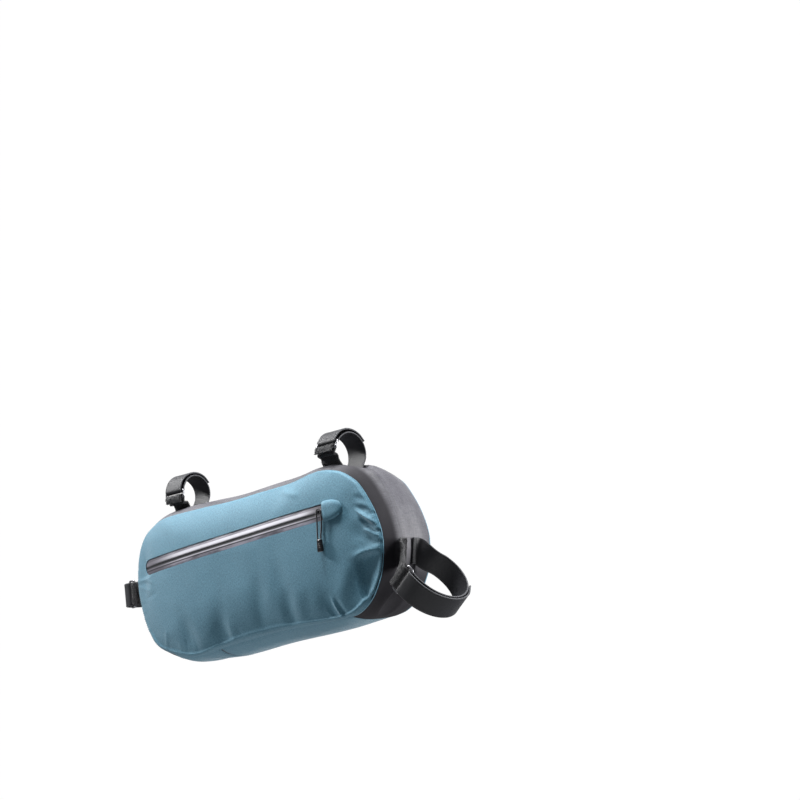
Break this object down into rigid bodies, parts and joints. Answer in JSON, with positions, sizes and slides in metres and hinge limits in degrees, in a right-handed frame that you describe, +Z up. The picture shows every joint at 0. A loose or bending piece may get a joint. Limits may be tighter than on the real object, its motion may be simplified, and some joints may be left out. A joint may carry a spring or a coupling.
{
  "type": "frame bag",
  "caption": "Long soft frame bag with blue side panels, a grey gusset, a covered zip in the near side and hook-and-loop straps at the top and both ends.",
  "frame": {"origin": "on the axis of the sloping tube that the bag hangs from, straight above the middle of the bag", "axes": "+X along the bag to its front, +Y across it away from the side with the zip, +Z up as it hangs"},
  "size_m": [0.4801, 0.0931, 0.2594],
  "materials": {
    "panel_cloth": "matt heathered coated weave",
    "gusset_cloth": "satin laminate",
    "zip_film": "glossy laminated film",
    "zip_coil": "dull",
    "black_plastic": "moulded",
    "black_cord": "braided cord",
    "strap_face": "smooth hook tape back",
    "strap_pile": "fuzzy loop pile",
    "ring_metal": "gloss black wire"
  },
  "bodies": {
    "root": {"side_panel_near": "panel_cloth", "side_panel_far": "panel_cloth", "gusset": "gusset_cloth", "bottom_panel": "panel_cloth", "zip_film_upper": "zip_film", "zip_film_lower": "zip_film", "zip_coil": "zip_coil", "zip_garage": "panel_cloth", "zip_slider": "black_plastic", "zip_pull_cord": "black_cord", "zip_pull_end": "black_plastic", "strap_upper_rear_webbing": "strap_pile", "strap_upper_rear_band": "strap_face", "strap_upper_rear_ring": "ring_metal", "strap_upper_front_webbing": "strap_pile", "strap_upper_front_band": "strap_face", "strap_upper_front_ring": "ring_metal", "strap_rear_webbing": "strap_pile", "strap_rear_band": "strap_face", "strap_rear_ring": "ring_metal", "strap_front_webbing": "strap_pile", "strap_front_band": "strap_face", "strap_front_ring": "ring_metal"}
  },
  "joints": []
}
